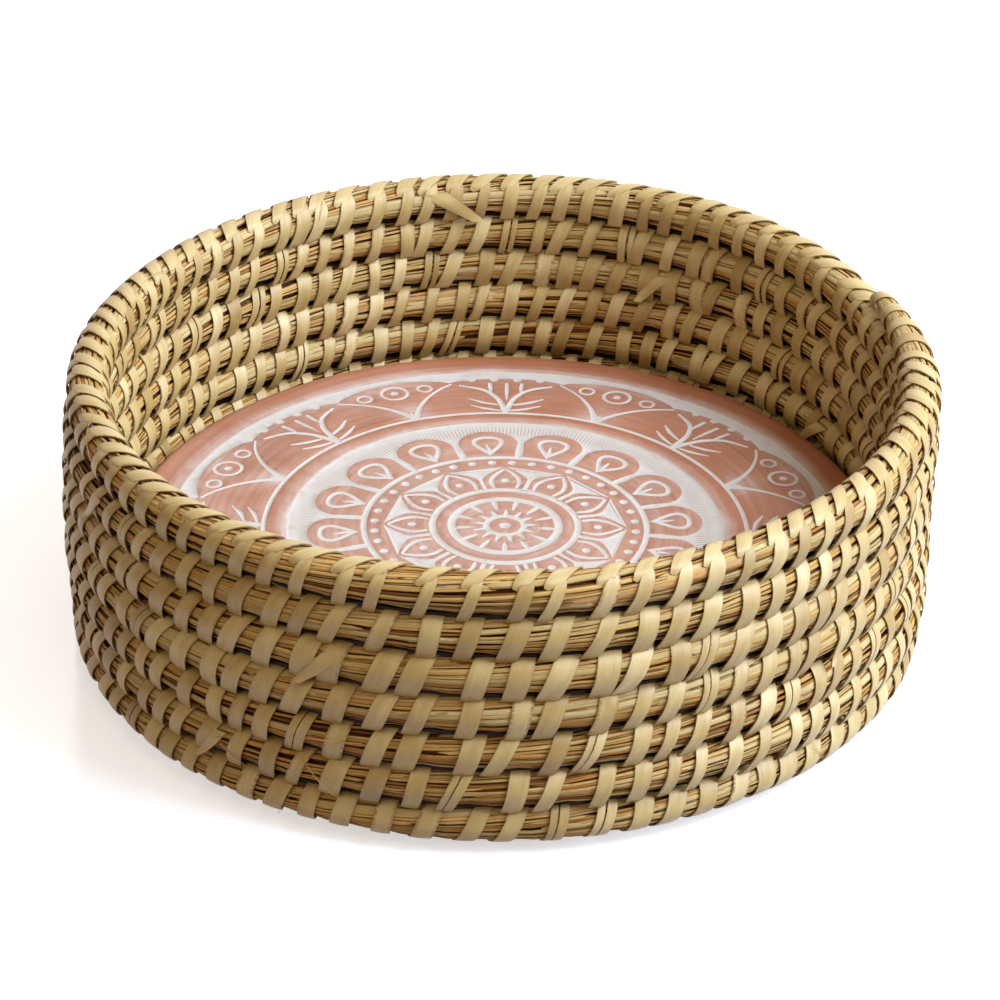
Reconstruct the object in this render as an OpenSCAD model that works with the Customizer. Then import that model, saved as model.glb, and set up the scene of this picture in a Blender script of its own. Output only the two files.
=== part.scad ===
// Bread warmer basket: one grass bundle coiled into a floor and a wall, lashed with leaf strips,
// with a loose carved terracotta warming tile lying on the floor. Millimetres, +Z up.
// The origin is the middle of the face that the basket stands on.

/* [Bundle] */
// Diameter of the grass bundle, corner to corner
bundle_d = 11.5; // [9:0.1:15]
// Room between one turn of the bundle and the next
turn_room = 0.5; // [0.45:0.05:1]
// Diameter of the tip of the tapered end
tip_d = 3; // [2:0.1:5]

/* [Basket] */
// Outside diameter over the strips
basket_d = 253.3; // [180:0.1:330]
// Courses in the wall
wall_courses = 7; // [4:1:11]
// Height of the first wall course above the floor turns, axis to axis
first_rise = 4.7; // [3:0.1:7]
// Radius at which the floor spiral starts
start_r = 7; // [6.5:0.1:11]
// Arc in which each course steps up to the next
climb_arc = 56; // [45:1:80]

/* [Strips] */
// Thickness of a leaf strip
strip_t = 0.55; // [0.3:0.05:0.8]
// Width of a strip on the wall
wall_strip_w = 4.6; // [3:0.1:5]
// Width of a strip on the floor
floor_strip_w = 3.4; // [2:0.1:3.8]
// Strips in one turn of the wall
strips_per_turn = 64; // [48:8:72]
// Least spacing of the strips on the floor
floor_spacing = 8; // [7.5:0.1:12]
// Lean of the wall strips
strip_lean = 8; // [0:1:10]
// Depth to which a strip bites into the turn before
bite = 2.5; // [1.5:0.1:3.5]
// Radius of the loop that bites
bite_r = 2.4; // [1.8:0.1:2.8]

/* [Tile] */
// Thickness of the tile
tile_t = 18.5; // [12:0.5:22]
// Room round the tile
tile_room = 2.6; // [2:0.1:6]
// Room under the tile
tile_rest_room = 0.3; // [0.2:0.05:0.6]
// Rounding of the tile's upper edge
tile_top_edge = 5; // [2:0.1:6]
// Rounding of the tile's lower edge
tile_bottom_edge = 5; // [4:0.1:5]
// Depth of the carved rings
carve_depth = 0.8; // [0.4:0.1:1.5]
// Radius of the ring round the hub
hub_ring_r = 6; // [4:0.1:9]
// Width of the ring round the hub
hub_ring_w = 1.2; // [0.6:0.1:3]
// Radius of the ring inside the pointed petals
star_ring_r = 15.5; // [12:0.1:20]
// Width of the ring inside the pointed petals
star_ring_w = 3.2; // [1:0.1:4]
// Radius of the ring outside the pointed petals
petal_ring_r = 41.2; // [30:0.1:50]
// Width of the ring outside the pointed petals
petal_ring_w = 1.7; // [0.6:0.1:4]
// Radius of the ring outside the round petals
scallop_ring_r = 61.5; // [56:0.1:64]
// Width of the ring outside the round petals
scallop_ring_w = 6.5; // [1:0.1:8]
// Radius of the fine ring
fine_ring_r = 70.3; // [70:0.1:78]
// Width of the fine ring
fine_ring_w = 1.5; // [0.6:0.1:3]
// Room between the carving and the tile's edge
plain_edge_w = 13; // [8:0.1:16]
// Width of the ring inside the plain edge
edge_ring_w = 6.5; // [1:0.1:9]

/* [Hidden] */
bundle_r = bundle_d / 2;
pitch = bundle_d + turn_room;
// A strip is drawn a little into the bundle that it binds
strip_in_r = bundle_r - 0.6 * strip_t;
strip_out_r = strip_in_r + strip_t;

// The bundle is flat underneath by a tenth of its diameter
floor_z = bundle_r - bundle_d / 10;
wall_r = basket_d / 2 - strip_out_r;
wall_z = floor_z + first_rise;
step_out = sqrt(pitch * pitch - first_rise * first_rise);
floor_r = wall_r - step_out;
floor_turns = ceil((floor_r - start_r) / pitch);
centre_r = floor_r - pitch * floor_turns;
end_turn = floor_turns + wall_courses;
rim_z = wall_z + (wall_courses - 1) * pitch;

RINGS = 32;
SIDES = 8;
// Floor turns whose strips are a node each, counted from the wall inwards
OUTER_TURNS = 4;
climb_share = climb_arc / 360;
start_t = ceil((start_r - centre_r) / pitch * RINGS) / RINGS;
taper_rings = [for (j = [1:RINGS - 1]) if (climb(j / RINGS) < 1 && taper_d(j / RINGS) >= tip_d) j];
tip_t = end_turn + max(taper_rings) / RINGS;

tile_z = floor_z + strip_out_r + tile_rest_room;
tile_r = wall_r - strip_out_r - tile_room;

grass = "#c9b36c";
leaf = "#d8cba0";
clay = "#c4765a";

// The coil's axis, by its turns t from the middle outwards and then up.
// In the climb arc each pass stays one pitch from the pass before.
function ease(v) = v * v * (3 - 2 * v);
function climb(t) = min(1, (t - floor(t)) / climb_share);
function lift(v) =
    let (back = 1 - ease(v), side = step_out * back)
    (sqrt(pitch * pitch - side * side) - first_rise * back) / pitch;
function jog(v) =
    let (up = first_rise * ease(v))
    1 - (sqrt(pitch * pitch - up * up) - step_out * ease(v)) / pitch;
function taper_d(t) = pitch * (1 - lift(climb(t))) - turn_room;

// The inner turns spiral steadily and the outer ones are round, with a jog in the climb arc
function floor_share(t) =
    let (k = floor(t), round = k / max(1, floor_turns - 1))
    (1 - round) * (t - k) + round * jog(climb(t));

function axis_r(t) =
    t < floor_turns ? centre_r + pitch * (floor(t) + floor_share(t))
    : t < floor_turns + 1 ? floor_r + step_out * ease(climb(t))
    : wall_r;

function axis_z(t) =
    t < floor_turns ? floor_z
    : t < floor_turns + 1 ? floor_z + first_rise * ease(climb(t))
    : t < end_turn ? wall_z + pitch * (floor(t) - floor_turns - 1 + lift(climb(t)))
    : rim_z + bundle_r - coil_r(t);

function coil_r(t) = t < end_turn ? bundle_r : taper_d(t) / 2;

function axis(t) = [axis_r(t) * cos(360 * t), axis_r(t) * sin(360 * t), axis_z(t)];

// One ring of points round the axis, none of them below the floor
function ring(t) =
    let (c = axis(t), r = coil_r(t))
    [for (s = [0.5:SIDES]) let (a = 360 * s / SIDES) [
        c.x + r * cos(a) * cos(360 * t),
        c.y + r * cos(a) * sin(360 * t),
        max(0, c.z + r * sin(a))]];

module coil(from, to) {
    last = round((to - from) * RINGS);
    points = [for (j = [0:last]) each ring(from + j / RINGS)];
    sides = [for (j = [0:last - 1], s = [0:SIDES - 1])
        let (a = j * SIDES, b = a + SIDES, n = (s + 1) % SIDES)
        each [[a + s, a + n, b + n], [a + s, b + n, b + s]]];
    near = [for (s = [1:SIDES - 2]) [0, s + 1, s]];
    end = last * SIDES;
    far = [for (s = [1:SIDES - 2]) [end, end + s, end + s + 1]];
    polyhedron(points, concat(sides, near, far));
}

// Least distance between the points of one turn and of the turn before
function turn_gap(t) = min([for (p = ring(t), d = [-1:1])
    if (t - 1 + d / RINGS >= start_t)
    each [for (q = ring(t - 1 + d / RINGS)) norm(p - q)]]);

echo(least_gap = min([for (j = [(start_t + 1) * RINGS:tip_t * RINGS]) turn_gap(j / RINGS)]));

// A strip binds its turn and bites into the turn before. Places are shares of a turn.
function chord_start(t) = axis(floor(t * RINGS) / RINGS);
function chord_run(t) = axis((floor(t * RINGS) + 1) / RINGS) - chord_start(t);
function on_coil(t) = chord_start(t) + (t * RINGS - floor(t * RINGS)) * chord_run(t);
function turn_before(t) =
    t - 1 >= start_t ? on_coil(t - 1) : on_coil(t) - pitch * [cos(360 * t), sin(360 * t), 0];

// The strips of a floor turn are thinned by halves towards the middle
function thinning(k) =
    let (r = max(start_r, centre_r + pitch * k), spacing = 2 * PI * r / strips_per_turn)
    k >= floor_turns ? 1 : pow(2, max(0, ceil(ln(floor_spacing / spacing) / ln(2))));

// Each turn's strips lie midway between those of the turn before,
// and on the wall follow the lean, which starts above the upright strips of the first climb
lean_shift = pitch * tan(strip_lean) * strips_per_turn / (2 * PI * wall_r);
function phase(k) =
    k > floor_turns ? (k - floor_turns) / 2 + (k - floor_turns - 0.4) * lean_shift
    : k == floor_turns ? 0
    : phase(k + 1) + thinning(k + 1) / 2;

// A strip at the start of a turn is left out where the last one of two turns before is in its way
function seam_room(k) = phase(k) % 1 + 1 - phase(k - 2) % 1;
function first_place(k) =
    let (first = phase(k) % thinning(k))
    k >= floor_turns + 2 && seam_room(k) < 0.5 ? first + 1 : first;
function stitch_places(k) =
    [for (x = [first_place(k):thinning(k):strips_per_turn - 0.001]) k + x / strips_per_turn];

module strip_outline(r, reach, angle, height) {
    difference() {
        union() {
            circle(r + strip_out_r - bundle_r, $fn = 64);
            rotate(angle) translate([reach, 0]) circle(bite_r, $fn = 32);
        }
        circle(r + strip_in_r - bundle_r, $fn = 64);
        rotate(angle) translate([reach, 0]) circle(bite_r - strip_t, $fn = 32);
        if (height < strip_out_r) {
            translate([-pitch, -height - pitch]) square([2 * pitch, pitch]);
        }
    }
}

module stitch(t, width, lean) {
    place = on_coil(t);
    back = turn_before(t) - place;
    side = back.x * cos(360 * t) + back.y * sin(360 * t);
    reach = norm(back) - bundle_r + bite - bite_r;
    translate(place) rotate([90 - lean, 0, 360 * t])
        linear_extrude(width, center = true)
        strip_outline(coil_r(t), reach, atan2(back.z, side), place.z);
}

module tile_ring(r, width) {
    translate([r - width / 2, tile_t - carve_depth]) square([width, 2 * carve_depth]);
}

module tile() {
    straight = tile_t - tile_bottom_edge - tile_top_edge;
    color(clay) translate([0, 0, tile_z]) rotate_extrude($fn = 180) difference() {
        union() {
            square([tile_r - tile_bottom_edge, tile_t]);
            translate([0, tile_bottom_edge]) square([tile_r, straight]);
            translate([0, tile_bottom_edge]) square([tile_r - tile_top_edge, tile_t - tile_bottom_edge]);
            translate([tile_r - tile_bottom_edge, tile_bottom_edge]) circle(tile_bottom_edge, $fn = 48);
            translate([tile_r - tile_top_edge, tile_t - tile_top_edge]) circle(tile_top_edge, $fn = 48);
        }
        tile_ring(hub_ring_r, hub_ring_w);
        tile_ring(star_ring_r, star_ring_w);
        tile_ring(petal_ring_r, petal_ring_w);
        tile_ring(scallop_ring_r, scallop_ring_w);
        tile_ring(fine_ring_r, fine_ring_w);
        tile_ring(tile_r - plain_edge_w - edge_ring_w / 2, edge_ring_w);
    }
}

module floor_coil() {
    color(grass) coil(start_t, floor_turns);
}

module wall_coil() {
    color(grass) coil(floor_turns, tip_t);
}

module floor_stitches(first_turn, last_turn) {
    color(leaf) for (k = [first_turn:last_turn], t = stitch_places(k)) stitch(t, floor_strip_w, 0);
}

module wall_stitches(k) {
    color(leaf) for (t = stitch_places(floor_turns + k - 1)) {
        stitch(t, wall_strip_w, t < floor_turns + climb_share ? 0 : strip_lean);
    }
}

// The first part turn is bound once, between two strips of the next turn
module start_binding() {
    between = [for (t = stitch_places(1)) t - 1 + thinning(1) / 2 / strips_per_turn];
    t = min([for (t = between) if (t > start_t + 0.5 / RINGS) t]);
    place = on_coil(t);
    color(leaf) translate(place) rotate([90, 0, 360 * t])
        linear_extrude(floor_strip_w, center = true) difference() {
            circle(strip_out_r, $fn = 64);
            circle(strip_in_r, $fn = 64);
            translate([-pitch, -place.z - pitch]) square([2 * pitch, pitch]);
        }
}

module end_lashing() {
    color(leaf) for (t = stitch_places(end_turn)) {
        if (t < tip_t) stitch(t, wall_strip_w, strip_lean);
    }
}

tile();
floor_coil();
wall_coil();
start_binding();
end_lashing();
floor_stitches(1, floor_turns - OUTER_TURNS - 1);  // floor_stitches_middle
for (k = [1:OUTER_TURNS]) {
    floor_stitches(floor_turns - k, floor_turns - k);
}
for (k = [1:wall_courses]) {
    wall_stitches(k);
}
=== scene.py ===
import math
from collections import namedtuple

import bpy
import numpy as np
from mathutils import Matrix, Vector
from mathutils.geometry import delaunay_2d_cdt


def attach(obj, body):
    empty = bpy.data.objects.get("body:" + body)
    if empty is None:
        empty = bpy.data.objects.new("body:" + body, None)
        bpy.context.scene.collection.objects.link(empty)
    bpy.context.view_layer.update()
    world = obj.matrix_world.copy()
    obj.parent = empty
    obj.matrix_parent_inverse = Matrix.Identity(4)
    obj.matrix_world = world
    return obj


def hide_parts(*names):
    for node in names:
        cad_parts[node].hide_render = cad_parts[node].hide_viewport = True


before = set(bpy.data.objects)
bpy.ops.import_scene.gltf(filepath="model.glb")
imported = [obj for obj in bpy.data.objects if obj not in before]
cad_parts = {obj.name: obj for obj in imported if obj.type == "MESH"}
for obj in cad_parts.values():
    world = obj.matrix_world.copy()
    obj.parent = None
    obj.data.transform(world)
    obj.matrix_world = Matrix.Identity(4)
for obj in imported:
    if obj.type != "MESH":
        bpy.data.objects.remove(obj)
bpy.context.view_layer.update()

MM = 0.001
TAU = 2 * math.pi
rng = np.random.default_rng(41)

# The coil: lengths in millimetres, places along it in turns from the middle of the floor
BUNDLE_D = 11.5
TURN_ROOM = 0.5
BASKET_D = 253.3
STRIP_REACH = 5.97
WALL_COURSES = 7
FLOOR_TURNS = 9
FIRST_RISE = 4.7
CLIMB_SHARE = 56 / 360
END_TURN = FLOOR_TURNS + WALL_COURSES
START_T = 15 / 32
TIP_T = END_TURN + 2 / 32
BUNDLE_R = BUNDLE_D / 2
PITCH = BUNDLE_D + TURN_ROOM
FLOOR_Z = BUNDLE_R - BUNDLE_D / 10
WALL_R = BASKET_D / 2 - STRIP_REACH
WALL_Z = FLOOR_Z + FIRST_RISE
STEP_OUT = math.sqrt(PITCH ** 2 - FIRST_RISE ** 2)
FLOOR_R = WALL_R - STEP_OUT
CENTRE_R = FLOOR_R - PITCH * FLOOR_TURNS
RIM_Z = WALL_Z + (WALL_COURSES - 1) * PITCH
LEAST_R = 6


def ease(v):
    """A smooth step from 0 to 1."""
    return v * v * (3 - 2 * v)


def climb(t):
    """How much of its step out or up a turn has made at t."""
    return np.minimum(1, (t - np.floor(t)) / CLIMB_SHARE)


def lift(v):
    """The share of a pitch climbed in a step up, so that a turn stays one pitch from the turn below."""
    back = 1 - ease(v)
    return (np.sqrt(PITCH ** 2 - (STEP_OUT * back) ** 2) - FIRST_RISE * back) / PITCH


def jog(v):
    """The share of a pitch made in a step out, so that a turn stays one pitch from the turn outside it."""
    up = FIRST_RISE * ease(v)
    return 1 - (np.sqrt(PITCH ** 2 - up ** 2) - STEP_OUT * ease(v)) / PITCH


def coil_r(t):
    """The bundle's radius, which tapers off after the last turn."""
    return np.where(t < END_TURN, BUNDLE_R, (PITCH * (1 - lift(climb(t))) - TURN_ROOM) / 2)


def axis_r(t):
    """How far the coil's true axis lies from the middle of the basket."""
    turn = np.floor(t)
    roundness = turn / (FLOOR_TURNS - 1)
    share = (1 - roundness) * (t - turn) + roundness * jog(climb(t))
    on_floor = CENTRE_R + PITCH * (turn + share)
    first = FLOOR_R + STEP_OUT * ease(climb(t))
    return np.where(t < FLOOR_TURNS, on_floor, np.where(t < FLOOR_TURNS + 1, first, WALL_R))


def axis_z(t):
    """How high the coil's true axis lies."""
    first = FLOOR_Z + FIRST_RISE * ease(climb(t))
    wall = WALL_Z + PITCH * (np.floor(t) - FLOOR_TURNS - 1 + lift(climb(t)))
    end = RIM_Z + BUNDLE_R - coil_r(t)
    on_wall = np.where(t < END_TURN, wall, end)
    return np.where(t < FLOOR_TURNS, FLOOR_Z, np.where(t < FLOOR_TURNS + 1, first, on_wall))


# How far the wall strays outwards at the right and the left, by courses from the floor to the rim
STRAY_LEVELS = np.linspace(0, 1, WALL_COURSES)
STRAY_RIGHT = (-3.0, -1.5, -1.3, -1.2, -1.0, -0.8, -0.6)
STRAY_LEFT = (-1.5, -0.5, 0, 0, 0, -1.0, -2.8)
# Beside that it wanders outwards and upwards: how far, how often, and the seed of the wander
WANDER_OUT = (0.4, 1.7, 77)
WANDER_UP = (0.3, 1.3, 78)
# A wander is a sum of sines: the rate and the size of each
SINES = ((1, 1), (2.3, 0.6), (4.1, 0.4))
SINES_REACH = 1.6
WAVE_SEEDS = 1 << 30


def wave(x, seed):
    """A smooth wander between about -1 and 1, the same each time for one seed."""
    starts = np.random.default_rng(seed).uniform(0, TAU, len(SINES))
    return sum(size * np.sin(rate * x + start) for (rate, size), start in zip(SINES, starts)) / SINES_REACH


def stray(t):
    """How far the coil lies outwards and upwards of true at turns t."""
    angle = TAU * t
    level = (axis_z(t) - FLOOR_Z) / (RIM_Z - FLOOR_Z)
    right = np.interp(level, STRAY_LEVELS, STRAY_RIGHT)
    left = np.interp(level, STRAY_LEVELS, STRAY_LEFT)
    at_wall = np.clip(axis_r(t) / WALL_R, 0, 1) ** 3
    on_wall = np.clip(t - FLOOR_TURNS, 0, 1)
    out = at_wall * ((right + left) / 2 + (right - left) / 2 * np.cos(angle))
    wander_out, wander_up = (on_wall * far * wave(often * angle, seed)
                             for far, often, seed in (WANDER_OUT, WANDER_UP))
    return out + wander_out, wander_up


def axis_at(t):
    """How far out and how high the coil's axis lies at turns t, with its straying."""
    out, up = stray(t)
    return axis_r(t) + out, axis_z(t) + up


def on_coil(t, out, up):
    """Points beside the coil's axis at turns t, offset outwards and upwards in millimetres."""
    r, z = axis_at(t)
    angle = TAU * t
    return np.stack([(r + out) * np.cos(angle), (r + out) * np.sin(angle), z + up], axis=-1)


def way_round(t):
    """The length of a turn of the coil, as it is at turns t."""
    return TAU * np.maximum(axis_r(t), LEAST_R)


def turns_for(t, along):
    """The turn that lies a distance along the coil from turn t."""
    return t + along / way_round(t)


def show(name, data):
    """An object of the data, put in the scene."""
    made = bpy.data.objects.new(name, data)
    bpy.context.scene.collection.objects.link(made)
    return made


# Edges of the stems and strips that are sharper than this are not smoothed, in degrees
SHARP_EDGE = 50


class Soup:
    """Closed tubes gathered into one mesh, with a few values for each point."""

    def __init__(self, *names):
        self.points = []
        self.faces = []
        self.values = {n: [] for n in names}
        self.count = 0

    def add(self, rings, **values):
        """Adds tubes: rings has the shape (tubes, rings, sides, 3) and an even number of sides."""
        tubes, length, sides, _ = rings.shape
        ring = np.arange(sides)
        step = (ring + 1) % sides
        j = np.arange(length - 1)[:, None] * sides
        body = np.stack([j + ring, j + step, j + sides + step, j + sides + ring], axis=-1).reshape(-1, 4)
        half = np.arange(1, sides - 2, 2)
        near = np.stack([half * 0, half + 2, half + 1, half], axis=-1)
        far = np.stack([half * 0, half, half + 1, half + 2], axis=-1) + (length - 1) * sides
        one = np.concatenate([body, near, far])
        offsets = self.count + np.arange(tubes)[:, None, None] * length * sides
        self.faces.append((one[None] + offsets).reshape(-1, 4))
        self.points.append(rings.reshape(-1, 3))
        for name, store in self.values.items():
            store.append(np.broadcast_to(values[name], (tubes, length, sides)).reshape(-1))
        self.count += tubes * length * sides

    def build(self, name, material):
        """The tubes as one object, with the values as attributes of its points."""
        mesh = bpy.data.meshes.new(name)
        mesh.from_pydata(np.concatenate(self.points) * MM, [], np.concatenate(self.faces))
        for key, store in self.values.items():
            layer = mesh.attributes.new(key, "FLOAT", "POINT")
            layer.data.foreach_set("value", np.concatenate(store).astype(np.float32))
        mesh.polygons.foreach_set("use_smooth", np.ones(len(mesh.polygons), bool))
        mesh.set_sharp_from_angle(angle=math.radians(SHARP_EDGE))
        mesh.materials.append(material)
        return show(name, mesh)


# Where the strips lie: fewer on the inner floor, and wider apart in a stretch at the front, in degrees
STRIPS = 82
FULL_FROM = FLOOR_TURNS - 2
FLOOR_DENSITY = 0.85
FEWEST_STRIPS = 8
SPARSE_AT = 268
SPARSE_OVER = 26
SPARSE_SHARE = 0.25
STRIP_DRIFT = 0.03
STRIP_JITTER = 0.085
BARE_START = 0.03
END_STRIPS = (0.006, 0.020, 0.033, 0.045, 0.056)
SPREAD_T = np.linspace(0, 1, 721)
SPREAD = 1 - SPARSE_SHARE * np.exp(-((SPREAD_T * 360 - SPARSE_AT) / SPARSE_OVER) ** 2)
SPREAD_SUM = np.cumsum(SPREAD) - SPREAD[0]
SPREAD_SUM = SPREAD_SUM / SPREAD_SUM[-1]


def strip_places(turn):
    """Turns at which the strips of one turn of the coil cross its outer top line."""
    floor_share = np.clip(axis_r(np.array(turn + 0.5)) / WALL_R, 0, 1)
    on_floor = max(FEWEST_STRIPS, int(STRIPS * floor_share * FLOOR_DENSITY))
    count = STRIPS if turn >= FULL_FROM else on_floor
    share = (np.arange(count) + 0.5 + STRIP_DRIFT * (turn - FLOOR_TURNS)) / count
    share = share + rng.normal(0, STRIP_JITTER, count) / count
    return np.sort(turn + np.interp(np.mod(share, 1), SPREAD_SUM, SPREAD_T))


PLACES = {turn: strip_places(turn) for turn in range(END_TURN)}
PLACES[0] = PLACES[0][PLACES[0] > START_T + BARE_START]
PLACES[END_TURN] = END_TURN + np.array(END_STRIPS)
ALL_PLACES = np.sort(np.concatenate(list(PLACES.values())))

# A strip presses the stems in: how far, and how wide the dent is
DENT_DEPTH = 0.42
DENT_OVER = 3.0


def strip_nearness(t):
    """How near each place lies to a strip, from 0 between strips to 1 under one."""
    i = np.searchsorted(ALL_PLACES, t)
    left = ALL_PLACES[np.clip(i - 1, 0, len(ALL_PLACES) - 1)]
    right = ALL_PLACES[np.clip(i, 0, len(ALL_PLACES) - 1)]
    gap = np.minimum(np.abs(t - left), np.abs(right - t)) * way_round(t)
    return np.exp(-(gap / DENT_OVER) ** 2)


# The coil is worn flat underneath: below a height its stems are pressed together, down to a lower one
WORN_Z = 1.6
WORN_LOW = 0.4
WORN_SHARE = (WORN_Z - WORN_LOW) / (WORN_Z + BUNDLE_R - FLOOR_Z)
# The stems draw together to a share of the bundle over the last millimetres of the coil
TIP_GATHER = 4.5
TIP_SHARE = 0.25
# The bundle's inside, a tube coloured dark as painted shade, as a share of its radius, stops short of the
# coil's end
CORE_SHARE = 0.66
CORE_END = TIP_T - 7 / (TAU * WALL_R)
CORE_RINGS = 90
CORE_SHADE_TINT = -1.0
# Half the width and the thickness of what fills the seam between two turns, coloured dark as painted shade
SEAM_WIDE = 2.4
SEAM_THICK = 1.5
# The patterns on the stems and strips are counted in these lengths, and round a stem in this angle
RUN_UNIT = 40
ROUND_UNIT = 6
RUN_SPREAD = 50

# Stems are fine and brown to golden, middling, or broad and pale
STEM_SHARES = (0.56, 0.30, 0.14)
STEM_TINTS = ((0.04, 0.66), (0.24, 0.84), (0.68, 1.0))
STEM_WIDTHS = ((0.28, 0.52), (0.52, 0.9), (0.95, 1.5))
STEM_FLATNESS = 0.8
STEM_THICKEST = 0.5
# Two layers of stems: how many lie side by side, how far apart their rings are, and how deep they are sunk
UPPER_STEMS = {"rows": 42, "wall_step": 3.2, "floor_step": 5.0, "sunk": 0.0,
               "widths": STEM_WIDTHS, "tints": STEM_TINTS}
# The stems underneath take only the darkest tints: painted shade between the stems above
UNDER_STEMS = {"rows": 15, "wall_step": 6.0, "floor_step": 9.0, "sunk": 1.0,
               "widths": ((1.0, 1.5),) * 3, "tints": ((0.0, 0.06),) * 3}
# A stem's length, its greatest share of a turn, and how far the next one laps over it
STEM_LENGTHS = (50, 190)
STEM_TURN_SHARE = 0.45
STEM_LAPS = (3, 9)
STEM_SHORTEST = 6
STEM_LEAST_R = 8
STEM_AHEAD = 0.02
ROW_STAGGER = 0.3
ROW_JITTER = 0.35
# A stem winds slowly round the bundle, in radians for each millimetre, and slants, sways and ripples
STEM_LAY = 0.013
STEM_SLANT = 0.0022
STEM_SWAY = 0.035
STEM_SWAY_OVER = 14
STEM_RIPPLE = 0.08
STEM_RIPPLE_OVER = 9
STEM_DEPTHS = (-0.14, 0.24)
STEM_PROUDEST = 0.12
# Some ends spring up; all are tucked in and trimmed
SPRUNG_SHARE = 0.2
SPRUNG_UP = (0.3, 0.9)
SPRUNG_OVER = 3
TUCK = 0.5
TUCK_OVER = 1.2
TRIM_SHARE = 0.25
TRIM_OVER = 2.5

TABLE_T = np.linspace(0, END_TURN + 1, 6000)
TABLE_RUN = np.concatenate([[0], np.cumsum(way_round(TABLE_T[1:]) * np.diff(TABLE_T))])


def tube(t, out, face, wide, thick, sides=6):
    """A tube along the coil: out is its distance from the bundle's axis, and face the side of the bundle."""
    side = np.arange(sides) * TAU / sides + math.pi / sides
    away = out[:, None] + np.asarray(thick)[..., None] * np.cos(side)
    across = np.asarray(wide)[..., None] * np.sin(side)
    x = away * np.cos(face)[:, None] - across * np.sin(face)[:, None]
    y = away * np.sin(face)[:, None] + across * np.cos(face)[:, None]
    points = on_coil(np.repeat(t[:, None], sides, 1), x, y)
    z = points[..., 2]
    points[..., 2] = np.where(z < WORN_Z, WORN_Z - (WORN_Z - z) * WORN_SHARE, z)
    return points[None], {"turned": side / ROUND_UNIT, "facing": np.cos(side)}


def gathered(t):
    """How far the stems stand out from the bundle's axis, as a share: they are gathered at its end."""
    left = (TIP_T - t) * TAU * WALL_R
    return np.clip(TIP_SHARE + (1 - TIP_SHARE) * left / TIP_GATHER, TIP_SHARE, 1)


def stem(t, face, sunk, widths, tints):
    """The rings of one stem along turns t, from a face of the bundle, and the values of its points."""
    along = np.interp(t, TABLE_T, TABLE_RUN)
    face = face + STEM_LAY * along
    along = along - along[0]
    face = face + rng.normal(0, STEM_SLANT) * (along - along[-1] / 2)
    face = face + STEM_SWAY * wave(along / STEM_SWAY_OVER, rng.integers(WAVE_SEEDS))
    kind = rng.choice(len(widths), p=STEM_SHARES)
    wide = rng.uniform(*widths[kind])
    thick = min(STEM_THICKEST, STEM_FLATNESS * wide)
    tint = rng.uniform(*tints[kind])
    depth = coil_r(t) * gathered(t) - thick - sunk - DENT_DEPTH * strip_nearness(t)
    depth = depth + min(rng.normal(*STEM_DEPTHS), STEM_PROUDEST)
    depth = depth + STEM_RIPPLE * wave(along / STEM_RIPPLE_OVER, rng.integers(WAVE_SEEDS))
    from_end = np.minimum(along, along[-1] - along)
    if rng.random() < SPRUNG_SHARE:
        depth = depth + rng.uniform(*SPRUNG_UP) * np.exp(-from_end / SPRUNG_OVER)
    depth = depth - TUCK * np.exp(-from_end / TUCK_OVER)
    trim = np.clip(TRIM_SHARE + from_end / TRIM_OVER, 0, 1)
    rings, values = tube(t, depth, face, wide * trim, thick * trim)
    values["tint"] = tint
    values["run"] = (along / RUN_UNIT + rng.uniform(0, RUN_SPREAD))[:, None]
    return rings, values


def lay_grass(soups, rows, wall_step, floor_step, sunk, widths, tints):
    """Stems along the whole coil, in rows round the bundle; soups holds a mesh for each turn."""
    for row in range(rows):
        t = START_T - rng.uniform(0, ROW_STAGGER)
        while t < TIP_T:
            start = max(t, START_T)
            turn_length = TAU * max(float(axis_r(np.array(start + STEM_AHEAD))), STEM_LEAST_R)
            length = min(rng.uniform(*STEM_LENGTHS), turn_length * STEM_TURN_SHARE)
            end = min(t + length / turn_length, TIP_T)
            t += (length - rng.uniform(*STEM_LAPS)) / turn_length
            if (end - start) * turn_length < STEM_SHORTEST:
                continue
            ring_step = wall_step if start >= FLOOR_TURNS else floor_step
            tt = np.linspace(start, end, max(4, int((end - start) * turn_length / ring_step)))
            face = TAU * (row + rng.uniform(-ROW_JITTER, ROW_JITTER)) / rows
            rings, values = stem(tt, face, sunk, widths, tints)
            # The stems underneath, coloured dark as painted shade, stop short of the coil's end
            if sunk == 0 or end < TIP_T:
                soups[int(start)].add(rings, **values)


def lay_core(soup, turn_from, turn_to):
    """The bundle's inside, and the stems pressed into the seam with the turn before, both coloured dark as
    painted shade.
    """
    tt = np.linspace(max(turn_from, START_T), min(turn_to, CORE_END), (turn_to - turn_from) * CORE_RINGS)
    inner = np.zeros(len(tt))
    size = coil_r(tt) * CORE_SHARE
    rings, values = tube(tt, inner, inner, size, size, sides=8)
    soup.add(rings, tint=CORE_SHADE_TINT, run=0.0, **values)
    tt = tt[tt - 1 > START_T]
    r, z = axis_at(tt)
    r_before, z_before = axis_at(tt - 1)
    x = (r_before - r) / 2
    y = (z_before - z) / 2
    rings, values = tube(tt, np.hypot(x, y), np.arctan2(y, x), SEAM_WIDE, SEAM_THICK, sides=8)
    soup.add(rings, tint=CORE_SHADE_TINT, run=0.0, **values)


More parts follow.
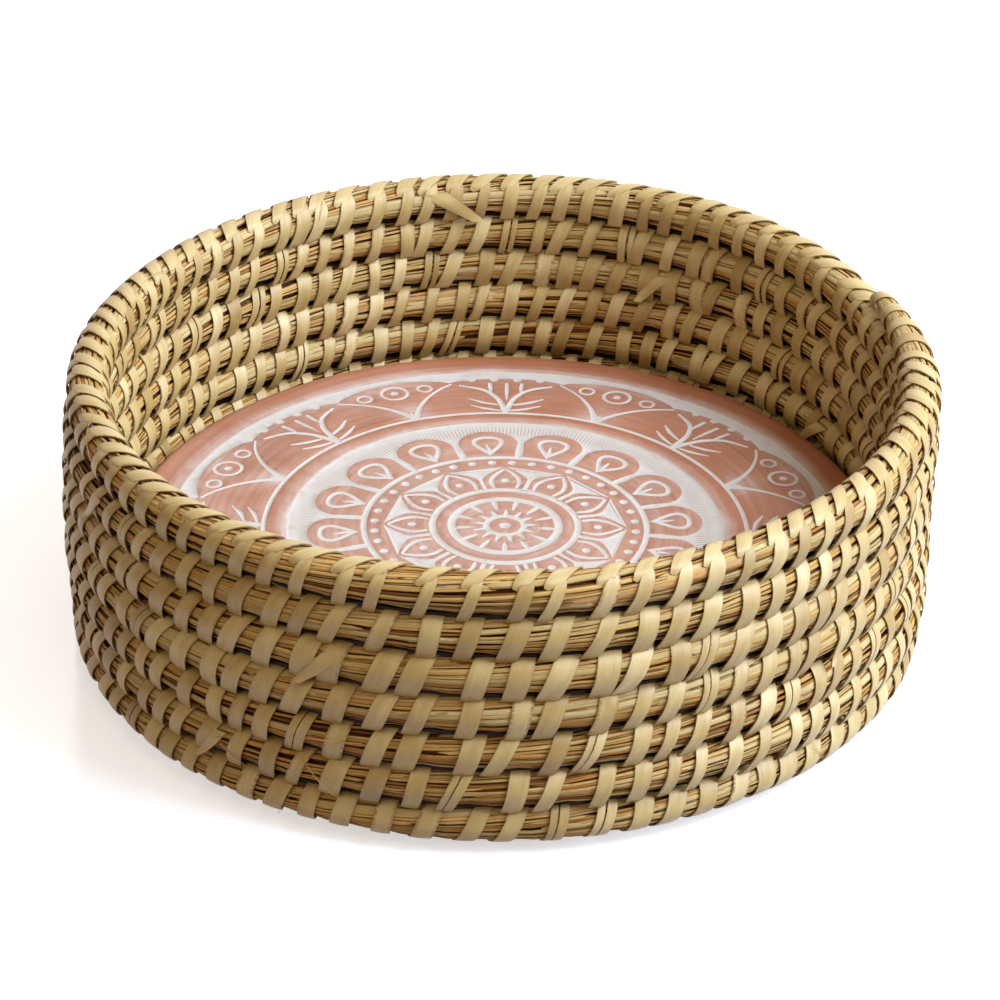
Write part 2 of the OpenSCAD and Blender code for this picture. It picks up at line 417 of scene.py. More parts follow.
# Fine stray ends on the wall: where they lie, by turns and by degrees round the bundle, and how they run
HAIRS = 22
HAIR_TURNS = (FLOOR_TURNS + 0.3, END_TURN - 0.1)
HAIR_INSIDE_FROM = FLOOR_TURNS + 3
HAIR_INSIDE_SHARE = 0.45
HAIR_FACES_INSIDE = (110, 215)
HAIR_FACES_OUTSIDE = (-60, 85)
HAIR_LENGTHS = (6, 22)
HAIR_HEADING = 0.6
HAIR_BOW = 0.3
HAIR_RISES = (0.6, 2.6)
HAIR_CURL = 1.6
HAIR_CLEAR = 0.25
HAIR_SIZES = (0.11, 0.22)
HAIR_TAPER = 0.5
HAIR_TINTS = (0.35, 0.65)
HAIR_RINGS = 10


def lay_hairs(soups):
    """Fine stray ends that lie across the wall; none on the side towards the tile."""
    share = np.linspace(0, 1, HAIR_RINGS)
    for i in range(HAIRS):
        t = rng.uniform(*HAIR_TURNS)
        inside = t > HAIR_INSIDE_FROM and rng.random() < HAIR_INSIDE_SHARE
        face = math.radians(rng.uniform(*(HAIR_FACES_INSIDE if inside else HAIR_FACES_OUTSIDE)))
        length = rng.uniform(*HAIR_LENGTHS)
        heading = rng.normal(0, HAIR_HEADING)
        bow = rng.normal(0, HAIR_BOW)
        rise = rng.uniform(*HAIR_RISES)
        way = -1 if rng.random() < 0.5 else 1
        tt = turns_for(np.full(HAIR_RINGS, t), way * length * share * math.cos(heading))
        faces = face + length * (share * math.sin(heading) + bow * share ** 2) / BUNDLE_R
        out = BUNDLE_R + HAIR_CLEAR + rise * share ** HAIR_CURL
        size = rng.uniform(*HAIR_SIZES) * (1 - HAIR_TAPER * share)
        rings, values = tube(tt, out, faces, size, size, sides=4)
        values["facing"] = 1.0
        values["tint"] = rng.uniform(*HAIR_TINTS)
        values["run"] = (share + i)[:, None]
        soups[int(t)].add(rings[:, :, ::way], **values)


Profile = namedtuple("Profile", "points normals run share centre")
CURVE_STEPS = 24


def smooth_profile(points, spacing):
    """Even points on a smooth curve through the points, with normals and the way along it in three forms:
    the length run, its share of the whole, and the length from the middle."""
    p = np.array(points, float)
    p = np.concatenate([[2 * p[0] - p[1]], p, [2 * p[-1] - p[-2]]])
    u = np.linspace(0, 1, CURVE_STEPS, endpoint=False)[:, None]
    stretches = []
    for a, b, c, d in zip(p, p[1:], p[2:], p[3:]):
        stretches.append(0.5 * (2 * b + (c - a) * u + (2 * a - 5 * b + 4 * c - d) * u ** 2
                                + (3 * b - a - 3 * c + d) * u ** 3))
    line = np.concatenate(stretches + [p[-2:-1]])
    length = np.concatenate([[0], np.cumsum(np.linalg.norm(np.diff(line, axis=0), axis=1))])
    run = np.linspace(0, length[-1], int(length[-1] / spacing) + 1)
    even = np.stack([np.interp(run, length, line[:, i]) for i in (0, 1)], axis=1)
    ahead = np.gradient(even, axis=0)
    ahead = ahead / np.linalg.norm(ahead, axis=1)[:, None]
    normals = np.stack([ahead[:, 1], -ahead[:, 0]], axis=1)
    return Profile(even, normals, run, run / run[-1], run - run[-1] / 2)


# Across a strip: the share of its half width, its camber, and how deep it lies in the thickness
ACROSS = np.array([-1, -0.5, 0, 0.5, 1, 0.96, 0, -0.96])
CAMBER = np.array([0, 0.09, 0.12, 0.09, 0, 0, 0.12, 0])
CAMBER_HALF = 2.8
DEEP = np.array([0, 0, 0, 0, 0, 1, 1, 1])
STRIP_T = 0.42
STRIP_FOOT = 0.02


def ribbons(soup, profile, t, shift, half, lift_out, tint, turn_to_before=True):
    """Strips on a profile, one at each turn of t, with shift, half width and lift along the profile."""
    shape = (len(t), len(profile.run))
    shift, half, lift_out = (np.broadcast_to(v, shape)[..., None] for v in (shift, half, lift_out))
    u = shift + half * ACROSS
    out = lift_out + CAMBER * (half / CAMBER_HALF) - DEEP * STRIP_T
    x, y = (profile.points[:, i, None] + profile.normals[:, i, None] * out for i in (0, 1))
    tt = turns_for(np.broadcast_to(t[:, None, None], u.shape), u)
    if turn_to_before:
        before = np.maximum(t - 1, 0)
        innermost = t - 1 < START_T
        dr = np.where(innermost, -PITCH, axis_r(before) - axis_r(t))
        dz = np.where(innermost, 0, axis_z(before) - axis_z(t))
        turn = np.arctan2(dr, -dz)[:, None, None]
        x, y = x * np.cos(turn) - y * np.sin(turn), x * np.sin(turn) + y * np.cos(turn)
    slim = np.where(tt < END_TURN, 1, coil_r(tt) / BUNDLE_R)
    points = on_coil(tt, x * slim, y * slim)
    points[..., 2] = np.maximum(points[..., 2], STRIP_FOOT + DEEP * STRIP_T)
    soup.add(points, tint=tint[:, None, None], along=profile.run[:, None] / RUN_UNIT, across=ACROSS)


# A strip round its turn, from one end in the turn before over the turn and back into it
HALF_WRAP = [(1.2, -8.3), (2.9, -7.35), (3.9, -6.75), (4.35, -6.0), (5.15, -4.2), (5.88, -2.0), (6.12, 0),
             (5.75, 2.2), (4.4, 4.35), (2.3, 5.72)]
WRAP = HALF_WRAP + [(0, 6.1)] + [(-x, y) for x, y in reversed(HALF_WRAP)]
# Strips lean along the coil, by millimetres for each millimetre up, and they sway and lie loose a little
LEAN_OUTSIDE = 0.31
LEAN_INSIDE = 0.24
LEAN_SPREAD = 0.08
STRIP_SWAY = 0.35
STRIP_SWAY_OVER = 7
STRIP_LOOSE = 0.06
# Widths of the strips of each course at the front and at the back, and how much they vary
WIDTH_FRONT = (5.3, 5.0, 5.2, 5.2, 6.2, 5.0, 4.3)
WIDTH_BACK = (5.8, 4.2, 4.8, 4.8, 5.0, 4.2, 4.2)
WIDTH_FLOOR = 4.2
WIDTH_SPREAD = 0.4
WIDTH_WANDER = 0.5
WIDTH_RATE = 1.6
WIDTH_SEED = 90
WIDTH_LIMITS = (2.6, 7.2)
# They narrow by a share from the top towards the ends
NARROWING = 0.10
NARROW_OVER = 20
# Some strips are split in two along their length: the parts' widths, and how they lie apart
SPLIT_SHARE = 0.09
SPLIT_PART = 0.47
SPLIT_UNEVEN = 0.06
SPLIT_GAP = 0.05
SPLIT_SPREAD = 0.02
SPLIT_LIFT = 0.03
SPLIT_TINT = 0.04


def strip_widths(t, course):
    """Widths of the strips at turns t of a course."""
    front = np.exp(-((np.mod(t, 1) * 360 - SPARSE_AT) / (2 * SPARSE_OVER)) ** 2)
    mean = WIDTH_BACK[course] + (WIDTH_FRONT[course] - WIDTH_BACK[course]) * front
    slow = WIDTH_WANDER * wave(TAU * t * WIDTH_RATE, WIDTH_SEED + course)
    return np.clip(mean + slow + rng.normal(0, WIDTH_SPREAD, len(t)), *WIDTH_LIMITS)


def wrap_course(soup, turn, width):
    """The strips of one turn, with some of them split."""
    profile = smooth_profile(WRAP, spacing=1.0)
    centre = profile.centre
    t = PLACES[turn]
    count = len(t)
    lean = rng.normal(0, LEAN_SPREAD, count)[:, None] + np.where(centre < 0, LEAN_OUTSIDE, LEAN_INSIDE)
    sway = rng.normal(0, STRIP_SWAY, count)[:, None]
    shift = lean * centre + sway * np.sin(centre / STRIP_SWAY_OVER)
    tint = rng.random(count)
    loose = rng.normal(0, STRIP_LOOSE, count)[:, None]
    split = rng.random(count) < SPLIT_SHARE
    whole = ~split
    half = width[:, None] / 2 * (1 - NARROWING * np.clip(np.abs(centre) / NARROW_OVER, 0, 1) ** 2)
    ribbons(soup, profile, t[whole], shift[whole], half[whole], loose[whole], tint[whole])
    for sign in (-1, 1):
        part = SPLIT_PART + sign * SPLIT_UNEVEN
        offset = sign * width[split] * (1 - part) / 2 + sign * SPLIT_GAP
        apart = sign * rng.uniform(0, SPLIT_SPREAD, split.sum())
        place = shift[split] + offset[:, None] + apart[:, None] * centre
        part_tint = np.mod(tint[split] + sign * SPLIT_TINT, 1)
        lifted = loose[split] + sign * SPLIT_LIFT
        ribbons(soup, profile, t[split], place, half[split] * part, lifted, part_tint)


# The rim's limbs: they end at the top, narrowed to a share
RIM_TOP = (0.6, 6.05)
RIM_LEAN_SPREAD = 0.05
RIM_TAPER = 0.30
RIM_TAPER_OVER = 7.5
RIM_LIFTS = (0.02, 0.05)
# The rim's bands: they slant over it from outside to inside, with their ends sunk between the limbs
BAND_R = 6.05
BAND_DEGREES = np.linspace(37, 146, 17)
BAND_SLANTS = (0.78, 0.10)
BAND_HALVES = (2.4, 3.0)
BAND_TIP = 0.25
BAND_FULLNESS = 0.35
BAND_LIFT = 0.26
BAND_SUNK = 0.75
BAND_SUNK_RATE = 2.2
# The bands take only the paler tints: painted light on the rim's top
BAND_TINT_SHARE = 0.40
BAND_TINT_FROM = 0.42


def rim_course(soup, turn):
    """The rim's strips: an outer and an inner limb that narrow to the top, and a band slanting over it."""
    t = PLACES[turn]
    count = len(t)
    width = strip_widths(t, WALL_COURSES - 1)[:, None]
    tint = rng.random(count)
    for sign, mean_lean in ((1, LEAN_OUTSIDE), (-1, LEAN_INSIDE)):
        limb = [(sign * x, y) for x, y in HALF_WRAP + [RIM_TOP]]
        profile = smooth_profile(limb[::sign], spacing=0.9)
        to_top = profile.run[-1] - profile.run if sign > 0 else profile.run
        lean = rng.normal(mean_lean, RIM_LEAN_SPREAD, count)[:, None]
        half = width / 2 * np.clip(RIM_TAPER + to_top / RIM_TAPER_OVER, RIM_TAPER, 1)
        ribbons(soup, profile, t, -sign * lean * to_top, half, rng.normal(*RIM_LIFTS, count)[:, None], tint)
    bow = np.radians(BAND_DEGREES)
    profile = smooth_profile(np.column_stack([BAND_R * np.cos(bow), BAND_R * np.sin(bow)]), spacing=0.6)
    hump = np.sin(math.pi * profile.share)
    slant = rng.normal(*BAND_SLANTS, count)[:, None]
    half = BAND_TIP + rng.uniform(*BAND_HALVES, count)[:, None] * np.clip(hump, 0, 1) ** BAND_FULLNESS
    sunk = BAND_SUNK * (1 - np.clip(hump * BAND_SUNK_RATE, 0, 1))
    # Paler tints for the bands: painted light on the rim's top
    band_painted_light_tint = np.clip(tint * BAND_TINT_SHARE + BAND_TINT_FROM, 0, 1)
    ribbons(soup, profile, t, slant * profile.centre, half, BAND_LIFT - sunk, band_painted_light_tint)


# Loose ends that lie slantwise over a course: outwards and upwards of its axis
OUTER_FLAP = [(7.3, -6.6), (6.5, -5.0), (6.35, -2.5), (6.4, 0.4), (5.4, 3.2)]
INNER_FLAP = [(-5.4, 3.2), (-6.4, 0.4), (-6.35, -2.5), (-6.5, -4.6), (-7.2, -6.2)]
FLAP_TAPER = 0.55
FLAP_BEND = 0.5
FLAP_BEND_RATE = 3
FLAP_TINTS = (0.35, 0.9)
# Each flap: course, degrees round the basket, inside or not, lean, width
FLAPS = [
    (5, 247, False, 0.9, 4.2), (2, 231, False, 0.7, 3.2), (6, 205, False, 0.8, 3.0),
    (4, 318, False, 0.6, 3.0), (6, 336, False, 0.8, 2.6), (7, 97, True, -1.5, 5.0),
    (5, 66, True, 0.9, 4.0), (3, 33, True, 1.0, 3.6), (5, 60, False, 0.7, 3.2),
    (3, 110, False, 0.9, 3.4), (4, 160, False, -0.8, 3.0), (6, 20, False, 0.8, 3.2),
]


def add_flap(soup, course, degrees, inside, lean, width):
    """One loose end, narrower towards its free end."""
    profile = smooth_profile(INNER_FLAP if inside else OUTER_FLAP, spacing=0.6)
    free = profile.share if inside else 1 - profile.share
    t = np.array([FLOOR_TURNS + course - 1 + degrees / 360])
    half = width / 2 * (1 - FLAP_TAPER * free ** 2) * math.sqrt(1 + lean * lean)
    shift = lean * profile.centre + FLAP_BEND * np.sin(FLAP_BEND_RATE * profile.share)
    ribbons(soup, profile, t, shift, half, 0.0, rng.uniform(*FLAP_TINTS, 1), turn_to_before=False)


def opaque(colour):
    """A colour with its alpha; one number is a grey."""
    return (*np.broadcast_to(np.asarray(colour, float), 3).tolist(), 1)


class Look:
    """A material with the principled shader, and short ways to make the nodes that feed it."""

    def __init__(self, name, roughness, specular):
        self.material = bpy.data.materials.new(name)
        self.material.use_nodes = True
        self.tree = self.material.node_tree
        self.shader = self.tree.nodes["Principled BSDF"].inputs
        self.shader["Roughness"].default_value = roughness
        self.shader["Specular IOR Level"].default_value = specular

    def node(self, kind, inputs, **settings):
        """A node whose inputs are linked to a socket or set to a plain value."""
        made = self.tree.nodes.new("ShaderNode" + kind)
        for key, value in settings.items():
            setattr(made, key, value)
        for key, value in inputs.items():
            if hasattr(value, "node"):
                self.tree.links.new(value, made.inputs[key])
            else:
                made.inputs[key].default_value = value
        return made

    def attribute(self, name):
        return self.node("Attribute", {}, attribute_name=name).outputs["Fac"]

    def math(self, kind, a, b):
        return self.node("Math", {0: a, 1: b}, operation=kind).outputs[0]

    def times(self, a, b):
        return self.math("MULTIPLY", a, b)

    def combine(self, x, y, z):
        return self.node("CombineXYZ", {0: x, 1: y, 2: z}).outputs[0]

    def mix(self, kind, factor, a, b):
        b = b if hasattr(b, "node") else opaque(b)
        return self.node("Mix", {0: factor, 6: a, 7: b}, data_type="RGBA", blend_type=kind).outputs[2]

    def noise(self, vector, scale, detail=2.0, roughness=0.5):
        inputs = {"Vector": vector, "Scale": scale, "Detail": detail, "Roughness": roughness}
        return self.node("TexNoise", inputs).outputs[0]

    def grain(self, values, rates, scale, detail=2.0):
        """Noise that goes through three values of the points, each at its own rate."""
        return self.noise(self.combine(*map(self.times, values, rates)), scale, detail)

    def ramp(self, value, stops, label):
        """A value turned into a colour by stops: each is a place and a colour, or one number for a grey."""
        made = self.node("ValToRGB", {0: value}, label=label)
        elements = made.color_ramp.elements
        while len(elements) < len(stops):
            elements.new(0.5)
        for element, (at, colour) in zip(elements, stops):
            element.position = at
            element.color = opaque(colour)
        return made.outputs[0]

    def glow(self, colour, strength):
        """A plain colour that shines white as well."""
        self.shader["Base Color"].default_value = opaque(colour)
        self.shader["Emission Color"].default_value = opaque(1)
        self.shader["Emission Strength"].default_value = strength

    def finish(self, colour, height, strength, distance):
        """Gives the material its colour and a fine roughness, and returns it."""
        bump = self.node("Bump", {"Strength": strength, "Distance": distance, "Height": height})
        self.tree.links.new(bump.outputs[0], self.shader["Normal"])
        self.tree.links.new(colour, self.shader["Base Color"])
        return self.material


LEAF_TINTS = [(0.0, (0.35, 0.237, 0.076)), (0.18, (0.445, 0.328, 0.126)), (0.5, (0.5, 0.388, 0.166)),
              (0.85, (0.56, 0.448, 0.214)), (1.0, (0.64, 0.537, 0.293))]
LEAF_FIBRES = [(0.3, (0.70, 0.64, 0.55)), (0.5, 1), (0.75, (1.0, 0.98, 0.92))]
LEAF_BLOTCHES = [(0.35, (0.74, 0.62, 0.42)), (0.6, 1)]
BROAD_MARGIN = (0.24, 0.12, 0.04)
FINE_MARGIN = (0.20, 0.10, 0.035)
MARGIN_CHOICE = 7.31
# Stem tints; the darkest end also colours the bundle's inside, the seam and the stems underneath as painted
# shade
GRASS_TINTS_AND_SHADE = [(0.0, (0.07, 0.025, 0.005)), (0.03, (0.17, 0.067, 0.014)), (0.14, (0.37, 0.171, 0.038)),
               (0.28, (0.52, 0.304, 0.089)), (0.50, (0.6, 0.408, 0.153)), (0.66, (0.48, 0.351, 0.132)),
               (0.80, (0.6, 0.484, 0.238)), (0.95, (0.56, 0.456, 0.221)), (1.0, (0.5, 0.285, 0.128))]
GRASS_STREAKS = [(0.3, (0.42, 0.34, 0.24)), (0.55, 1)]
# Painted shade on each stem's sides, where it meets its neighbours
GRASS_GROOVE_SHADE = [(0.08, (0.17, 0.075, 0.02)), (0.74, 1)]


def leaf_material():
    """Dry leaf: fibres and blotches along each strip, and brown margins."""
    look = Look("leaf", roughness=0.46, specular=0.65)
    spot = [look.attribute(name) for name in ("across", "along", "tint")]
    across, _, tint = spot
    fibre = look.grain(spot, (6.0, 1.6, 90.0), scale=1.6, detail=4)
    blotch = look.grain(spot, (0.8, 4.0, 70.0), scale=1.1)
    dots = look.grain(spot, (1.0, 60.0, 50.0), scale=1.0, detail=1)
    base = look.ramp(tint, LEAF_TINTS, "strip tints")
    streaked = look.mix("MULTIPLY", 0.4, base, look.ramp(fibre, LEAF_FIBRES, "fibres"))
    toned = look.mix("MULTIPLY", 0.5, streaked, look.ramp(blotch, LEAF_BLOTCHES, "blotches"))
    # The margins are fine on every strip, and broad and broken on some
    edge = look.math("ABSOLUTE", across, 0.0)
    fine = look.ramp(edge, [(0.88, 0), (0.97, 0.5)], "fine margins")
    broad = look.ramp(edge, [(0.66, 0), (0.82, 1)], "broad margins")
    kind = look.math("FRACT", look.times(tint, MARGIN_CHOICE), 0.0)
    chosen = look.ramp(kind, [(0.80, 0), (0.82, 1)], "strips with broad margins")
    broken = look.ramp(dots, [(0.42, 0.1), (0.56, 0.85)], "broken margins")
    rust = look.times(look.times(broad, chosen), broken)
    browned = look.mix("MIX", rust, toned, BROAD_MARGIN)
    margined = look.mix("MIX", fine, browned, FINE_MARGIN)
    return look.finish(margined, fibre, strength=0.3, distance=0.00022)


def grass_material():
    """Dry stems: streaks along each one, and painted shade on the sides where it meets its neighbours."""
    look = Look("grass", roughness=0.55, specular=0.18)
    tint, run, turned, facing = [look.attribute(name) for name in ("tint", "run", "turned", "facing")]
    streak = look.grain((turned, run, tint), (9.0, 2.0, 60.0), scale=1.7, detail=4)
    base = look.ramp(tint, GRASS_TINTS_AND_SHADE, "stem tints and painted shade")
    toned = look.mix("MULTIPLY", 0.65, base, look.ramp(streak, GRASS_STREAKS, "streaks"))
    # Painted shade: a stem's sides, turned away from the outside, are darkened
    groove_shaded = look.mix("MULTIPLY", 1.0, toned, look.ramp(facing, GRASS_GROOVE_SHADE, "painted shade between stems"))
    return look.finish(groove_shaded, streak, strength=0.4, distance=0.0002)


def settle(piece, slot, *nodes):
    """Puts a piece on the basket's body and hides the nodes that it stands for; the slot is not used."""
    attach(piece, "basket")
    if nodes:
        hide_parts(*nodes)


leaf = leaf_material()
grass = grass_material()

# Meshes of grass: a name, the turns it holds and the nodes it stands for
MIDDLE_TURNS = FLOOR_TURNS - 4
GRASS_PIECES = [
    ("floor_grass_inner", range(MIDDLE_TURNS), ["floor_coil"]),
    ("floor_grass_middle", range(MIDDLE_TURNS, FULL_FROM), []),
    ("floor_grass_outer", range(FULL_FROM, FLOOR_TURNS), []),
    ("wall_grass_1", [FLOOR_TURNS], ["wall_coil"]),
]
GRASS_PIECES += [(f"wall_grass_{k}", [FLOOR_TURNS + k - 1], []) for k in range(2, WALL_COURSES)]
GRASS_PIECES.append((f"wall_grass_{WALL_COURSES}", [END_TURN - 1, END_TURN], []))
grass_soups = {}
for _, turns, _ in GRASS_PIECES:
    soup = Soup("tint", "run", "turned", "facing")
    lay_core(soup, turns[0], turns[-1] + 1)
    grass_soups.update({turn: soup for turn in turns})
lay_grass(grass_soups, **UPPER_STEMS)
lay_grass(grass_soups, **UNDER_STEMS)
lay_hairs(grass_soups)
for name, turns, nodes in GRASS_PIECES:
    piece = grass_soups[turns[0]].build(name, grass)
    settle(piece, "grass", *nodes)

STRIP_VALUES = ("tint", "along", "across")
for course in range(WALL_COURSES):
    soup = Soup(*STRIP_VALUES)
    turn = FLOOR_TURNS + course
    if course < WALL_COURSES - 1:
        wrap_course(soup, turn, strip_widths(PLACES[turn], course))
    else:
        rim_course(soup, turn)
    for flap in FLAPS:
        if flap[0] == course + 1:
            add_flap(soup, *flap)
    piece = soup.build(f"wall_strips_{course + 1}", leaf)
    settle(piece, "leaf", f"wall_stitches_{course + 1}")

# Strips of the floor, of which the outer turns are counted from the wall inwards, and of the coil's end
STRIP_PIECES = [("floor_strips_middle", range(MIDDLE_TURNS), ["floor_stitches_middle", "start_binding"])]
STRIP_PIECES += [(f"floor_strips_{k}", [FLOOR_TURNS - k], [f"floor_stitches_{k}"]) for k in (4, 3, 2, 1)]
STRIP_PIECES.append(("end_strips", [END_TURN], ["end_lashing"]))
for name, turns, nodes in STRIP_PIECES:
    soup = Soup(*STRIP_VALUES)
    for turn in turns:
        wrap_course(soup, turn, rng.normal(WIDTH_FLOOR, WIDTH_SPREAD, len(PLACES[turn])))
    piece = soup.build(name, leaf)
    settle(piece, "leaf", *nodes)

# The tile, in millimetres
TILE_R = WALL_R - STRIP_REACH - 2.6
TILE_Z = FLOOR_Z + STRIP_REACH + 0.3
TILE_T = 18.5
TOP_EDGE = 5
BOTTOM_EDGE = 5
FACE_R = TILE_R - TOP_EDGE
# The carving: its depth, the width of its sloped sides, and the steps of circles and of the face's grid
CARVE_DEPTH = 0.22
BEVEL = 0.32
CIRCLE_STEP = 1.1
DOT_STEP = 0.5
FACE_STEP = 1.8
GRID_STEP = 2.4
GRID_CLEAR = 2
MERGE = 1e-4
# The figures were drawn by hand: a little off the middle of the tile, and turned
OFF_RIGHT = 1.6
OFF_BACK = 3.9
OFF_BACK_R = 95
DRAWN_WIDER = 0.012
DRAWN_TURNED = 0.019


def polar(r, degrees):
    """Points on the tile by radius and by angle clockwise from the back."""
    a = np.radians(degrees)
    return np.stack([r * np.sin(a), r * np.cos(a)], axis=-1)


def placed(points, degrees):
    """A figure drawn with its foot towards the middle, turned to its place on the tile."""
    a = math.radians(degrees)
    x, y = np.asarray(points, float).T
    return np.stack([x * math.cos(a) + y * math.sin(a), y * math.cos(a) - x * math.sin(a)], axis=-1)


def circle(r, centre=(0, 0), step=CIRCLE_STEP):
    """Points on a circle, about a step apart."""
    count = int(np.clip(TAU * r / step, 14, 360))
    a = np.arange(count) * TAU / count
    return np.stack([centre[0] + r * np.cos(a), centre[1] + r * np.sin(a)], axis=-1)


def smooth_line(points, spacing=0.8):
    """Evenly spaced points on a smooth curve through the points."""
    return smooth_profile(points, spacing).points


def off_middle(x, y):
    """How far the figure drawn at a place of the tile lies to the right and to the back of true."""
    back = OFF_BACK * (1 - (x * x + y * y) / OFF_BACK_R ** 2)
    return OFF_RIGHT + DRAWN_WIDER * x, back - DRAWN_TURNED * x


def covered(within, areas):
    """Whether a spot within some outlines lies in one of the areas and in none of that area's holes."""
    return any(k in areas and within.isdisjoint(areas[k]) for k in within)


class Carving:
    """Outlines on the tile's face: areas of slip and, inside them, deep areas, each with its holes."""

    def __init__(self):
        self.points = []
        self.faces = []
        self.slip_areas = {}
        self.deep_areas = {}
        self.count = 0

    def outline(self, points):
        points = np.asarray(points, float)
        points = points + np.stack(off_middle(*points.T), axis=-1)
        x, y = points.T
        turned = np.sum(x * np.roll(y, -1) - y * np.roll(x, -1))
        if turned < 0:
            points = points[::-1]
        self.points.append(points)
        self.faces.append(list(range(self.count, self.count + len(points))))
        self.count += len(points)
        return len(self.faces) - 1

    def area(self, edge, deep, edge_holes=(), deep_holes=()):
        """An area of slip inside an edge, and the deep area in it."""
        parts = ((self.slip_areas, edge, edge_holes), (self.deep_areas, deep, deep_holes))
        for areas, outer, holes in parts:
            key = self.outline(outer)
            areas[key] = [self.outline(hole) for hole in holes]

    def dot(self, r, centre):
        self.area(circle(r, centre, DOT_STEP), circle(r - min(BEVEL, 0.4 * r), centre, DOT_STEP))

    def ring(self, low, high, centre=(0, 0), step=CIRCLE_STEP):
        bevel = min(BEVEL, 0.3 * (high - low))
        self.area(circle(high, centre, step), circle(high - bevel, centre, step),
                  [circle(low, centre, step)], [circle(low + bevel, centre, step)])

    def stroke(self, line, widths):
        """A line of slip whose width goes through the widths given, with rounded ends."""
        line = np.asarray(line, float)
        share = np.linspace(0, 1, len(line))
        half = np.interp(share, np.linspace(0, 1, len(widths)), widths) / 2
        run = np.gradient(line, axis=0)
        run = run / np.linalg.norm(run, axis=1)[:, None]
        left = np.stack([-run[:, 1], run[:, 0]], axis=-1)
        loops = []
        for inset in (0, 1):
            h = half - inset * np.minimum(BEVEL, 0.5 * half)
            trim = inset * BEVEL
            start = line[0] - run[0] * (0.7 * h[0] - trim)
            end = line[-1] + run[-1] * (0.7 * h[-1] - trim)
            side = left * h[:, None]
            loops.append(np.concatenate([[start], line + side, [end], (line - side)[::-1]]))
        self.area(*loops)

    def cut(self):
        """The face as triangles, with marks for slip and for deep corners."""
        ground = circle(FACE_R, step=FACE_STEP)
        grid = np.arange(-FACE_R, FACE_R, GRID_STEP)
        gx, gy = np.meshgrid(grid, grid)
        spots = np.stack([gx.ravel(), gy.ravel()], axis=-1)
        spots = spots[np.hypot(*spots.T) < FACE_R - GRID_CLEAR]
        points = [Vector(p) for p in np.concatenate(self.points + [ground, spots])]
        outlines = self.faces + [list(range(self.count, self.count + len(ground)))]
        verts, _, faces, _, _, origins = delaunay_2d_cdt(points, [], outlines, 0, MERGE, True)
        verts = np.array([tuple(v) for v in verts])
        faces = np.array(faces)
        within = [set(o) for o in origins]
        keep = np.array([len(self.faces) in w for w in within])
        slip = np.array([covered(w, self.slip_areas) for w in within])
        deep = np.array([covered(w, self.deep_areas) for w in within])
        low = np.zeros(len(verts), bool)
        low[faces[deep].ravel()] = True
        return verts, faces[keep], (slip | deep)[keep], low


# Rings of the carving: inner and outer radius
HUB_RING = (4.6, 6.4)
STAR_RING = (14.4, 16.8)
PETAL_RING = (20.2, 22.2)
SCALLOP_RING = (40.3, 42.0)
FINE_RING = (69.6, 70.9)
# How many of each figure go round
RAYS = 13
POINTED_PETALS = 12
BEADS = 40
ROUND_PETALS = 16
SPRIGS = 8


def carve_hub(c):
    """A hub with two rings of rays that point at each other, and the rings round it."""
    c.dot(1.7, (0, 0))
    c.ring(*HUB_RING, step=0.7)
    inner_ray = [(0.25 * s * (1 - s), 6.1 + 3.4 * s) for s in np.linspace(0, 1, 5)]
    outer_ray = [(0, 14.8 - 5.4 * s) for s in np.linspace(0, 1, 6)]
    for i in range(RAYS):
        a = 360 / RAYS * i
        c.stroke(placed(inner_ray, a + 2), [1.7, 1.2, 0.4])
        c.stroke(placed(outer_ray, a + 14), [1.5, 1.6, 0.5])
    c.ring(*STAR_RING, step=0.8)
    c.ring(*PETAL_RING, step=0.9)


def carve_pointed_petals(c):
    """Pointed petals with a line and a dot in each, and slip between them."""
    beside = [(0.75, 21.9), (0.72, 25), (0.85, 28.6), (2.9, 30.8), (5.9, 32.7), (8.85, 34.35)]
    right = smooth_line(beside, 0.9)
    edge = np.concatenate([right, right[::-1] * (-1, 1)])
    deep = edge * (0.86, 1)
    deep[:, 1] = np.clip(deep[:, 1], 22.3, 33.5)
    deep[:, 0] = np.sign(deep[:, 0]) * np.maximum(np.abs(deep[:, 0]) - 0.12, 0.35)
    ogive = smooth_line([(-3.3, 22.5), (-4.2, 26.2), (-3.1, 30.0), (-0.2, 34.0)])
    for i in range(POINTED_PETALS):
        a = 360 / POINTED_PETALS * i
        between = a + 180 / POINTED_PETALS
        c.area(placed(edge, between), placed(deep, between))
        for side in (1, -1):
            c.stroke(placed(ogive * (side, 1), a), [1.0, 1.4, 1.3, 1.0])
        c.dot(1.25, placed([(0, 27.0)], a)[0])


def carve_beads(c):
    """A beaded band, with a ring round it."""
    for i in range(BEADS):
        c.dot(1.28, polar(38.0, 360 / BEADS * i + 3))
    c.ring(*SCALLOP_RING, step=1.0)


def drop(half, tip, head):
    """A drop with its tip towards the middle of the tile, from its head round."""
    s = np.linspace(math.pi, 3 * math.pi, 48, endpoint=False)
    x = half * 1.43 * np.sin(s) * np.abs(np.sin(s / 2)) ** 1.5
    return np.stack([x, (tip + head) / 2 - (head - tip) / 2 * np.cos(s)], axis=-1)


